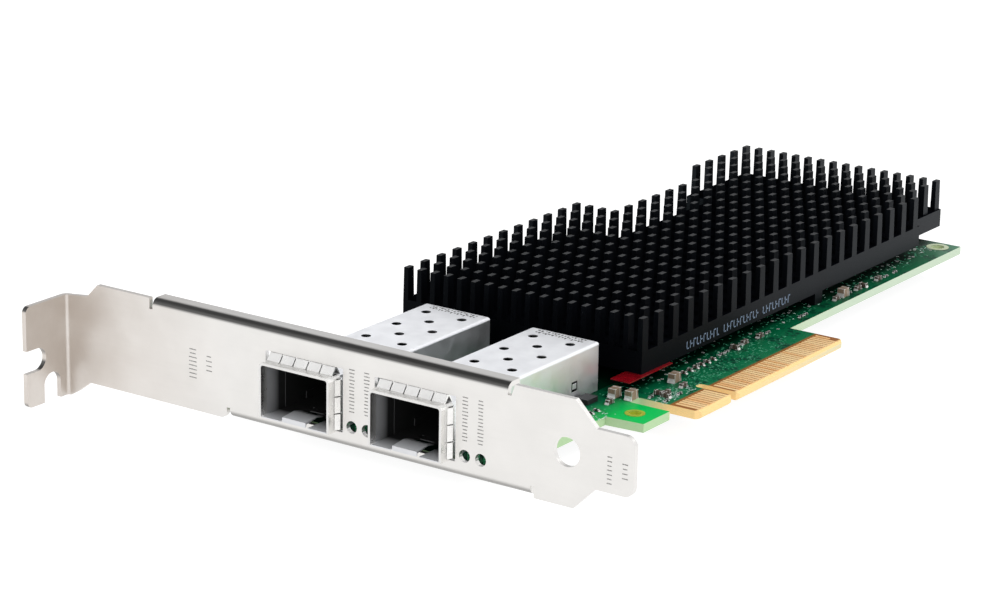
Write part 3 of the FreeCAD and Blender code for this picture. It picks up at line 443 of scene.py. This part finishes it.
def moulded_black(name, c):
    """Black epoxy moulding compound, moulded in a spark-eroded tool, which gives a fine grain."""
    s = Finish(name, c.chip)
    grain = s.add("TexNoise", {"Vector": s.where, "Scale": 1 / (0.12 * MM), "Detail": 3})
    pale = s.add("MapRange", (grain, 0.3, 0.7))
    tone = s.add("Mix", (pale, c.chip, c.chip * 1.7), data_type="RGBA")
    rough = s.add("MapRange", (grain, 0.3, 0.7, 0.45, 0.62))
    bump = s.add("Bump", {"Height": grain, "Distance": 0.01 * MM, "Strength": 0.5})
    return s.close(s.add("BsdfPrincipled", {
        "Base Color": tone, "Roughness": rough, "Normal": bump}))


def fired_ceramic(name, base):
    """Fired ceramic body of a chip capacitor, matt and speckled."""
    s = Finish(name, base)
    speck = s.add("TexNoise", {"Vector": s.where, "Scale": 1 / (0.15 * MM), "Detail": 3})
    dark = s.add("MapRange", (speck, 0.35, 0.7))
    tone = s.add("Mix", (dark, base, base * 0.6), data_type="RGBA")
    bump = s.add("Bump", {"Height": speck, "Distance": 0.008 * MM, "Strength": 0.5})
    return s.close(s.add("BsdfPrincipled", {
        "Base Color": tone, "Roughness": 0.5, "Normal": bump}))


def reflowed_tin(name, c):
    """Solder and tinned ends, melted in an oven: bright and slightly lumpy.

    Real tin is fully metallic, and the low value here keeps the small ends pale."""
    s = Finish(name, c.tin)
    lump = s.add("TexNoise", {"Vector": s.where, "Scale": 1 / (0.3 * MM)})
    dark = s.add("MapRange", (lump, 0.3, 0.7))
    tone = s.add("Mix", (dark, c.tin, c.tin * 0.6), data_type="RGBA")
    rough = s.add("MapRange", (lump, 0.3, 0.7, 0.16, 0.34))
    bump = s.add("Bump", {"Height": lump, "Distance": 0.04 * MM, "Strength": 0.8})
    return s.close(s.add("BsdfPrincipled", {
        "Base Color": tone, "Metallic": 0.2, "Roughness": rough, "Normal": bump}))


def clear_lens(name, c):
    """Clear plastic indicator lamp, moulded, faintly cloudy."""
    s = Finish(name, c.ink)
    cloud = s.add("TexNoise", {"Vector": s.where, "Scale": 1 / (0.6 * MM)})
    thick = s.add("MapRange", (cloud, 0.3, 0.7))
    tone = s.add("Mix", (thick, c.lens, c.lens_dark), data_type="RGBA")
    rough = s.add("MapRange", (cloud, 0.3, 0.7, 0.1, 0.25))
    return s.close(s.add("BsdfPrincipled", {
        "Base Color": tone, "Roughness": rough, "Transmission Weight": 0.3, "IOR": 1.49}))


def soft_pad(name, c):
    """Filled silicone pad, cut from a sheet: soft and chalky."""
    s = Finish(name, c.tin)
    grain = s.add("TexNoise", {"Vector": s.where, "Scale": 1 / (0.4 * MM), "Detail": 3})
    tone = s.add("Mix", (grain, c.pad_blue, c.pad_pale), data_type="RGBA")
    bump = s.add("Bump", {"Height": grain, "Distance": 0.03 * MM, "Strength": 0.5})
    return s.close(s.add("BsdfPrincipled", {
        "Base Color": tone, "Roughness": 0.85, "Normal": bump}))


def masked_ring(name, c):
    """Plated copper ring under a film of solder mask: yellow-green, with a painted highlight that
    grows with X.
    """
    s = Finish(name, c.ring)
    film = s.add("TexNoise", {"Vector": s.where, "Scale": 1 / (0.5 * MM)})
    thick = s.add("MapRange", (film, 0.35, 0.65))
    tone = s.add("Mix", (thick, c.ring, c.ring * 0.7), data_type="RGBA")
    along = s.add("SeparateXYZ", (s.where,), output="X")
    far = s.add("MapRange", (along, 50 * MM, 100 * MM, 0, 0.7))
    tone = s.add("Mix", (far, tone, c.far_edge_highlight), data_type="RGBA")
    return s.close(s.add("BsdfPrincipled", {
        "Base Color": tone, "Metallic": 0.2, "Roughness": 0.35}))


def thin_ink(name, ink, under):
    """Screen-printed ink or a laser mark, thin enough to let some of what is under it through."""
    s = Finish(name, ink)
    pore = s.add("TexNoise", {"Vector": s.where, "Scale": 1 / (0.12 * MM)})
    worn = s.add("MapRange", (pore, 0.4, 0.75))
    tone = s.add("Mix", (worn, ink, under), data_type="RGBA")
    return s.close(s.add("BsdfPrincipled", {"Base Color": tone, "Roughness": 0.6}))


def studio_floor(name, c):
    """Seamless background paper, matt, with a trace of grain.

    Its glow makes it meet the white, and lights the card a little from below too."""
    s = Finish(name, c.floor)
    grain = s.add("TexNoise", {"Vector": s.where, "Scale": 1 / (2 * MM)})
    tone = s.add("Mix", (grain, c.floor, c.floor * 0.985), data_type="RGBA")
    return s.close(s.add("BsdfPrincipled", {
        "Base Color": tone, "Roughness": 0.9, "Specular IOR Level": 0.0,
        "Emission Color": (1, 1, 1), "Emission Strength": FLOOR_GLOW}))


# ---- CAD pieces -----------------------------------------------------------------------------

def coat(node, material):
    """Give a CAD node one material, in its slots only."""
    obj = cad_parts[node]
    if not obj.material_slots:
        obj.data.materials.append(material)
    for slot in obj.material_slots:
        slot.material = material


def box_mm(node):
    """Lowest and highest corner of a CAD node, in millimetres."""
    return [[v / MM for v in corner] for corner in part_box(node)]


def loose_boxes(node):
    """Lowest and highest corner, in millimetres, of each separate solid of a CAD node."""
    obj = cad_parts[node]
    mesh = bmesh.new()
    mesh.from_mesh(obj.data)
    mesh.transform(obj.matrix_world)
    bmesh.ops.remove_doubles(mesh, verts=mesh.verts, dist=1e-7)
    seen, boxes = set(), []
    for first in mesh.verts:
        if first in seen:
            continue
        seen.add(first)
        waiting, part = [first], []
        while waiting:
            vert = waiting.pop()
            part.append(vert.co / MM)
            for edge in vert.link_edges:
                other = edge.other_vert(vert)
                if other not in seen:
                    seen.add(other)
                    waiting.append(other)
        boxes.append(tuple([pick(co[n] for co in part) for n in range(3)] for pick in (min, max)))
    mesh.free()
    return boxes


# ---- mesh helpers ---------------------------------------------------------------------------

def add_box(mesh, low, high, chamfer=0.0, index=0):
    """Box between two corners, in millimetres, with its edges bevelled."""
    made = bmesh.ops.create_cube(mesh, size=1.0)
    centre = [(a + b) / 2 for a, b in zip(low, high)]
    size = [b - a for a, b in zip(low, high)]
    for vert in made["verts"]:
        vert.co = Vector([(v * k + m) * MM for v, k, m in zip(vert.co, size, centre)])
    faces = {face for vert in made["verts"] for face in vert.link_faces}
    if chamfer:
        edges = {edge for face in faces for edge in face.edges}
        cut = bmesh.ops.bevel(mesh, geom=list(edges), offset=chamfer * MM, segments=2,
                              affect="EDGES", profile=0.5)
        faces = {face for face in faces if face.is_valid} | set(cut["faces"])
    for face in faces:
        face.material_index = index


def circle(mesh, centre, radius, level):
    """Vertices round a level circle, in millimetres."""
    turns = [2 * math.pi * n / ROUND_STEPS for n in range(ROUND_STEPS)]
    return [mesh.verts.new(((centre[0] + radius * math.cos(turn)) * MM,
                            (centre[1] + radius * math.sin(turn)) * MM, level * MM))
            for turn in turns]


def join_circles(mesh, circles):
    """Faces between each circle and the next."""
    for low, high in zip(circles, circles[1:]):
        for n in range(ROUND_STEPS):
            after = (n + 1) % ROUND_STEPS
            mesh.faces.new((low[n], low[after], high[after], high[n]))


def add_fillet(mesh, end, out, sides, floor, reach, rise, along):
    """Solder fillet: a wedge that leans on a chip's end face, in millimetres.

    end is the end face's place along the chip, and out is the way it faces, -1 or 1."""
    section = ((end, floor), (end + out * reach, floor),
               (end + out * reach * 0.35, floor + rise * 0.45), (end, floor + rise))
    rows = []
    for side in sides:
        row = []
        for place, level in section:
            x, y = (place, side) if along == 0 else (side, place)
            row.append(mesh.verts.new((x * MM, y * MM, level * MM)))
        rows.append(row)
    near, far = rows
    faces = [mesh.faces.new(near), mesh.faces.new(list(reversed(far)))]
    for n in range(4):
        after = (n + 1) % 4
        faces.append(mesh.faces.new((near[n], far[n], far[after], near[after])))
    for face in faces:
        face.material_index = CHIP_TIN


def add_chip(mesh, low, high, z):
    """Two-ended chip part in its CAD box: its body, tinned ends and solder fillets."""
    inset = 0.04                    # the tinned ends stand this far proud of the body
    size = [b - a for a, b in zip(low, high)]
    along = 0 if size[0] >= size[1] else 1
    across = 1 - along
    cap = size[along] * z.end_cap
    body_low, body_high = list(low), list(high)
    body_low[along] += cap * 0.5
    body_high[along] -= cap * 0.5
    body_low[across] += inset
    body_high[across] -= inset
    body_high[2] -= inset
    add_box(mesh, body_low, body_high, 0.04, CHIP_BODY)
    for out, face in ((-1, low[along]), (1, high[along])):
        cap_low, cap_high = list(low), list(high)
        if out < 0:
            cap_high[along] = face + cap
        else:
            cap_low[along] = face - cap
        add_box(mesh, cap_low, cap_high, 0.06, CHIP_TIN)
        add_fillet(mesh, face - out * 0.03, out, (low[across], high[across]), low[2],
                   z.solder_reach / MM, size[2] * 0.55, along)


def finish_piece(name, mesh, materials):
    """Turn a bmesh into a piece that rides on the card's one body."""
    data = bpy.data.meshes.new(name)
    bmesh.ops.recalc_face_normals(mesh, faces=mesh.faces)
    mesh.to_mesh(data)
    mesh.free()
    for material in materials:
        data.materials.append(material)
    obj = bpy.data.objects.new(name, data)
    bpy.context.scene.collection.objects.link(obj)
    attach(obj, "root")
    return obj


# ---- the card -------------------------------------------------------------------------------

# Fields of board print: how many marks, X from and to, Y from and to in millimetres, and ink,
# 0 for pale and 1 for thin.
PRINT_FIELDS = (
    (360, -26, 104, 12.4, 19.0, 1), (300, -12, 34, 7.2, 12.6, 1), (70, -12.5, -2, 6.7, 9.4, 0),
    (20, -27, -22, 10.5, 13.5, 0), (18, 13, 29, 12.2, 14.4, 0), (60, 40, 104, 13.4, 17, 0),
)
PRINT_MARKS = ((0.6, 0.18), (0.18, 0.5), (0.35, 0.16), (0.16, 0.3))     # length and width
# Columns of marks on the bracket: Y, lowest and highest Z, how many marks, and their length.
MARK_COLUMNS = (
    (74.2, 3.6, 9.4, 8, 1.8), (70.6, 5.4, 8.8, 4, 1.3),
    (-11.3, 3.4, 8.6, 7, 1.1), (-14.2, 4.8, 8.0, 4, 1.1),
    *((centre - aside, 4.6, 12.6, 13, 1.2) for centre in PORT_CENTRES for aside in (10.3, 13.4)),
)
LOCK_TAB = ((-21.6, 3.1), (-20.4, 4.1))  # X and Z of the corners of a cage's lock tab
CAGE_MARK_ROWS = (1.0, 2.0)             # from a cage's back edge
CAGE_MARK_COUNT = 15                    # in each row
CAGE_MARK_PITCH = 0.68
SINK_PRINT_GROUPS = (10, 11, 9)         # characters in each group of the heat sink's print
SINK_PRINT_PITCH = 1.16                 # from one character to the next
SINK_PRINT_GAP = 1.3                    # more than that between groups


class CARD_OT_board(bpy.types.Operator):
    """Solder mask, gold contacts, rings, vias and screen print of the circuit board."""

    bl_idname = "card.board"
    bl_label = "Board"
    bl_options = {"REGISTER", "UNDO"}

    def execute(self, context):
        c, z = context.scene.card_colours, context.scene.card_sizes
        coat("circuit_board", solder_mask("Green solder mask, glossy", c))
        gold = hard_gold("Hard gold plating, satin", c)
        coat("contacts_component_side", gold)
        coat("contacts_solder_side", gold)
        ring = masked_ring("Plated ring under solder mask", c)
        coat("ear_ring", ring)
        coat("corner_ring", ring)
        tin = reflowed_tin("Reflowed tin, bright", c)
        chance = random.Random(11)

        vias = bmesh.new()
        outer, inner = z.via_ring / MM / 2, z.via_ring / MM / 4
        for _ in range(60):
            x, y = chance.uniform(-12, 105), chance.uniform(12.2, 19.5)
            if x > 38 and y < 13:                   # the board's edge steps back there
                continue
            join_circles(vias, [circle(vias, (x, y), outer, BOARD_TOP),
                                circle(vias, (x, y), outer, BOARD_TOP + 0.02),
                                circle(vias, (x, y), inner, BOARD_TOP + 0.02)])
        finish_piece("vias", vias, [tin])

        pale = thin_ink("Board print, pale ink", c.ink, c.mask)
        faint = thin_ink("Board print, thin ink", c.faint_ink, c.mask)
        marks = bmesh.new()
        lift = z.print_lift / MM
        for count, x_low, x_high, y_low, y_high, ink in PRINT_FIELDS:
            for _ in range(count):
                x, y = chance.uniform(x_low, x_high), chance.uniform(y_low, y_high)
                if x > 36 and y < 13.4:             # and no print comes near it
                    continue
                wide, deep = chance.choice(PRINT_MARKS)
                add_box(marks, (x, y, BOARD_TOP), (x + wide, y + deep, BOARD_TOP + lift), index=ink)
        finish_piece("board_print", marks, [pale, faint])

        barrels = bmesh.new()
        for node in ("ear_ring", "corner_ring"):
            low, high = box_mm(node)
            middle = [(a + b) / 2 for a, b in zip(low, high)]
            bore = (high[0] - low[0]) * 0.27        # the hole's radius, just inside the ring's own
            join_circles(barrels, [circle(barrels, middle, bore, -BOARD_TOP),
                                   circle(barrels, middle, bore, BOARD_TOP)])
        finish_piece("plated_holes", barrels, [ring])
        return {"FINISHED"}


class CARD_OT_bracket(bpy.types.Operator):
    """Plated bracket with its marks, and its screws and nuts."""

    bl_idname = "card.bracket"
    bl_label = "Bracket"
    bl_options = {"REGISTER", "UNDO"}

    def execute(self, context):
        c, z = context.scene.card_colours, context.scene.card_sizes
        coat("bracket", satin_nickel("Nickel-plated sheet steel, satin", c))
        steel = bright_steel("Zinc-plated steel, bright", c.steel)
        for node in ("bracket_screws", "bracket_nuts", "heat_sink_screws"):
            coat(node, steel)

        grey = thin_ink("Laser mark, grey", c.mark, c.bracket)
        marks = bmesh.new()
        front = BRACKET_FACE - z.print_lift / MM
        half_thick = 0.09
        chance = random.Random(5)
        for y, low, high, count, wide in MARK_COLUMNS:
            for n in range(count):
                level = low + (high - low) * (n + 0.5) / count
                reach = wide * chance.uniform(0.35, 0.5)
                add_box(marks, (front, y - reach, level - half_thick),
                        (BRACKET_FACE, y + reach, level + half_thick))
        finish_piece("bracket_marks", marks, [grey])
        return {"FINISHED"}


class CARD_OT_cages(bpy.types.Operator):
    """Port cages with their lock tabs and marks, their spring gaskets and the sockets inside."""

    bl_idname = "card.cages"
    bl_label = "Cages"
    bl_options = {"REGISTER", "UNDO"}

    def execute(self, context):
        c, z = context.scene.card_colours, context.scene.card_sizes
        tin = tin_plate("Tin-plated cage sheet, satin", c.cage, c.port_shade_colour, z.mouth_fade)
        spring = tin_plate("Spring strip, bright tin", c.spring, c.port_shade_colour, z.mouth_fade,
                           rough_low=0.24, rough_high=0.34)
        black = moulded_black("Moulded socket, black", c)
        stamped = thin_ink("Stamped mark, dark grey", c.mark * 0.4, c.mark)
        tabs, marks = bmesh.new(), bmesh.new()
        ceiling = CAGE_TOP + z.print_lift / MM
        chance = random.Random(3)
        for side, centre in zip(("right", "left"), PORT_CENTRES):
            coat("cage_shell_" + side, tin)
            coat("cage_base_" + side, tin)
            coat("gasket_" + side, spring)
            coat("host_connector_" + side, black)
            low, high = box_mm("cage_shell_" + side)
            wall = low[1] + 0.1
            (x_low, z_low), (x_high, z_high) = LOCK_TAB
            add_box(tabs, (x_low, wall - 0.02, z_low), (x_high, wall + 0.18, z_high), 0.05)
            for back in CAGE_MARK_ROWS:
                for n in range(CAGE_MARK_COUNT):
                    x = high[0] - back - chance.uniform(0, 0.35)
                    y = centre - 4.9 + n * CAGE_MARK_PITCH
                    deep = chance.uniform(0.2, 0.5)
                    add_box(marks, (x, y, CAGE_TOP), (x + 0.3, y + deep, ceiling))
                    if n % 2:
                        add_box(marks, (x - 0.35, y, CAGE_TOP), (x + 0.35, y + 0.18, ceiling))
        finish_piece("cage_lock_tabs", tabs, [tin])
        finish_piece("cage_marks", marks, [stamped])
        lamp = clear_lens("Indicator lamp, pale", c)
        coat("link_lights", lamp)
        coat("activity_lights", lamp)
        return {"FINISHED"}


class CARD_OT_heat_sink(bpy.types.Operator):
    """Pin-fin heat sink with the print on its side, and the film and the chips under it."""

    bl_idname = "card.heat_sink"
    bl_label = "Heat sink"
    bl_options = {"REGISTER", "UNDO"}

    def execute(self, context):
        c, z = context.scene.card_colours, context.scene.card_sizes
        coat("heat_sink", black_coating("Black-coated cast aluminium", c))
        coat("insulating_film", red_film("Red insulating film, glossy", c))
        coat("thermal_pad", soft_pad("Heat-conducting pad, chalky", c))
        black = moulded_black("Chip moulding, matt black", c)
        for node in ("controller_chip", "power_inductors", "power_converters", "flash_chip",
                     "oscillator"):
            coat(node, black)

        start, side = box_mm("heat_sink")[0][:2]
        front = side - z.print_lift / MM
        foot = box_mm("insulating_film")[1][2]
        ink = thin_ink("Heat sink print, pale blue", c.sink_ink, c.heat_sink)
        bars = bmesh.new()
        thick = 0.24
        x = start + 15.0
        for group in SINK_PRINT_GROUPS:
            for n in range(group):
                add_box(bars, (x, front, foot + 0.8), (x + thick, side, foot + 2.3))
                level = foot + (0.8, 1.45, 2.1)[n % 3]
                add_box(bars, (x, front, level), (x + 0.8, side, level + thick))
                x += SINK_PRINT_PITCH
            x += SINK_PRINT_GAP
        finish_piece("heat_sink_print", bars, [ink])
        return {"FINISHED"}


class CARD_OT_small_parts(bpy.types.Operator):
    """Chip capacitors and resistors, each with a body, tinned ends and solder fillets."""

    bl_idname = "card.small_parts"
    bl_label = "Small parts"
    bl_options = {"REGISTER", "UNDO"}

    def execute(self, context):
        c, z = context.scene.card_colours, context.scene.card_sizes
        tall = fired_ceramic("Chip capacitor ceramic, fired", c.ceramic)
        dark = moulded_black("Chip resistor, dark glass", c)
        tin = reflowed_tin("Solder and tinned ends, bright", c)
        # The small capacitors' ceramic is darkened with painted shade.
        shaded_brown = fired_ceramic("Chip capacitor ceramic, dark", c.shaded_ceramic)
        for node, body in (("tall_capacitors", tall), ("capacitors", shaded_brown),
                           ("connector_capacitors", shaded_brown), ("resistors", dark)):
            mesh = bmesh.new()
            for low, high in loose_boxes(node):
                add_chip(mesh, low, high, z)
            piece = finish_piece(node + "_soldered", mesh, [body, tin])
            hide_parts(node)
        return {"FINISHED"}


# ---- studio ---------------------------------------------------------------------------------

CAMERA_PLACE = (-454.69, -262.12, 177.69)       # millimetres in the card's frame
CAMERA_AZIMUTH = -55.445                        # degrees
CAMERA_ELEVATION = 16.992
CAMERA_ROLL = 1.050
# Sky brightness at heights from 0, the horizon, to 1, overhead.
SKY = ((0.0, 1.0), (0.62, 1.12), (0.74, 0.08), (0.88, 0.05), (0.97, 0.4))
SKY_TINT = (0.985, 0.99, 1.0)
# Name, place in metres, power in watts and size in metres.
LAMPS = (
    ("softbox", (0.65, -1.15, 2.15), 36.0, 1.6),
    ("front", (-1.8, -1.6, 1.1), 6.0, 1.2),
)
LAMP_TARGET = (0.0, 0.04, 0.0)
FLOOR_REACH = 3.0                               # metres from the card to the floor's sides
FLOOR_GLOW = 0.92


def look_axes(azimuth, elevation, roll):
    """Camera axes for a view that comes from azimuth round and elevation above the card."""
    a, e, r = (math.radians(v) for v in (azimuth, elevation, roll))
    back = Vector((math.sin(a) * math.cos(e), -math.cos(a) * math.cos(e), math.sin(e)))
    right = Vector((0, 0, 1)).cross(back).normalized()
    up = back.cross(right)
    turned = right * math.cos(r) + up * math.sin(r)
    return turned, up * math.cos(r) - right * math.sin(r), back


class CARD_OT_stage(bpy.types.Operator):
    """Camera, soft lights, white world and pale floor."""

    bl_idname = "card.stage"
    bl_label = "Stage"
    bl_options = {"REGISTER", "UNDO"}

    def execute(self, context):
        scene = context.scene
        self.camera(scene)
        self.world(scene)
        self.lights(scene)
        self.floor(scene)
        scene.view_settings.view_transform = "Standard"
        return {"FINISHED"}

    def camera(self, scene):
        data = bpy.data.cameras.new("camera")
        data.lens = scene.card_sizes.focal_length
        data.sensor_width = 36
        data.sensor_fit = "HORIZONTAL"
        data.clip_start = 0.01
        data.clip_end = 20
        camera = bpy.data.objects.new("camera", data)
        axes = look_axes(CAMERA_AZIMUTH, CAMERA_ELEVATION, CAMERA_ROLL)
        place = Matrix.Translation(Vector(CAMERA_PLACE) * MM)
        camera.matrix_world = place @ Matrix(axes).transposed().to_4x4()
        scene.collection.objects.link(camera)
        scene.camera = camera

    def world(self, scene):
        """White to the camera. To everything else a bright band near the horizon, dark above it."""
        world = Nodes(bpy.data.worlds.new("studio"))
        direction = world.add("TexCoord", output="Generated")
        height = world.add("SeparateXYZ", (direction,), output="Z")
        band = world.add("ValToRGB", (height,))
        stops = band.node.color_ramp.elements
        while len(stops) < len(SKY):
            stops.new(0.5)
        for stop, (place, glow) in zip(stops, SKY):
            stop.position = place
            stop.color = (*(glow * tint for tint in SKY_TINT), 1)
        seen = world.add("Background", {"Color": (1, 1, 1)})
        fill = world.add("Background", {"Color": band})
        to_camera = world.add("LightPath", output="Is Camera Ray")
        either = world.add("MixShader", (to_camera, fill, seen))
        world.add("OutputWorld", {"Surface": either})
        scene.world = world.owner

    def lights(self, scene):
        for name, place, power, size in LAMPS:
            data = bpy.data.lights.new(name, "AREA")
            data.energy = power
            data.size = size
            light = bpy.data.objects.new(name, data)
            light.location = place
            aim = Vector(LAMP_TARGET) - Vector(place)
            light.rotation_euler = aim.to_track_quat("-Z", "Y").to_euler()
            scene.collection.objects.link(light)

    def floor(self, scene):
        mesh = bmesh.new()
        level = CAD_BOX[0][2]
        for x, y in ((-1, -1), (1, -1), (1, 1), (-1, 1)):
            mesh.verts.new((x * FLOOR_REACH, y * FLOOR_REACH, level))
        mesh.faces.new(mesh.verts)
        data = bpy.data.meshes.new("floor")
        mesh.to_mesh(data)
        mesh.free()
        data.materials.append(studio_floor("Studio floor, pale paper", scene.card_colours))
        floor = bpy.data.objects.new("floor", data)
        scene.collection.objects.link(floor)


# ---- add-on ---------------------------------------------------------------------------------

class CARD_PT_panel(bpy.types.Panel):
    """Sidebar panel with the card's operators, sizes and colours."""

    bl_label = "Network card"
    bl_idname = "CARD_PT_panel"
    bl_space_type = "VIEW_3D"
    bl_region_type = "UI"
    bl_category = "Card"

    def draw(self, context):
        for operator in OPERATORS:
            self.layout.operator(operator.bl_idname)
        for group in (context.scene.card_sizes, context.scene.card_colours):
            for name in type(group).__annotations__:
                self.layout.prop(group, name)


OPERATORS = (CARD_OT_board, CARD_OT_bracket, CARD_OT_cages, CARD_OT_heat_sink, CARD_OT_small_parts,
             CARD_OT_stage)
CLASSES = (CardColours, CardSizes, *OPERATORS, CARD_PT_panel)


def register():
    for item in CLASSES:
        bpy.utils.register_class(item)
    bpy.types.Scene.card_colours = bpy.props.PointerProperty(type=CardColours)
    bpy.types.Scene.card_sizes = bpy.props.PointerProperty(type=CardSizes)


def unregister():
    del bpy.types.Scene.card_sizes
    del bpy.types.Scene.card_colours
    for item in reversed(CLASSES):
        bpy.utils.unregister_class(item)


def main():
    register()
    for operator in OPERATORS:
        group, name = operator.bl_idname.split(".")
        getattr(getattr(bpy.ops, group), name)()


if __name__ == "__main__":
    main()
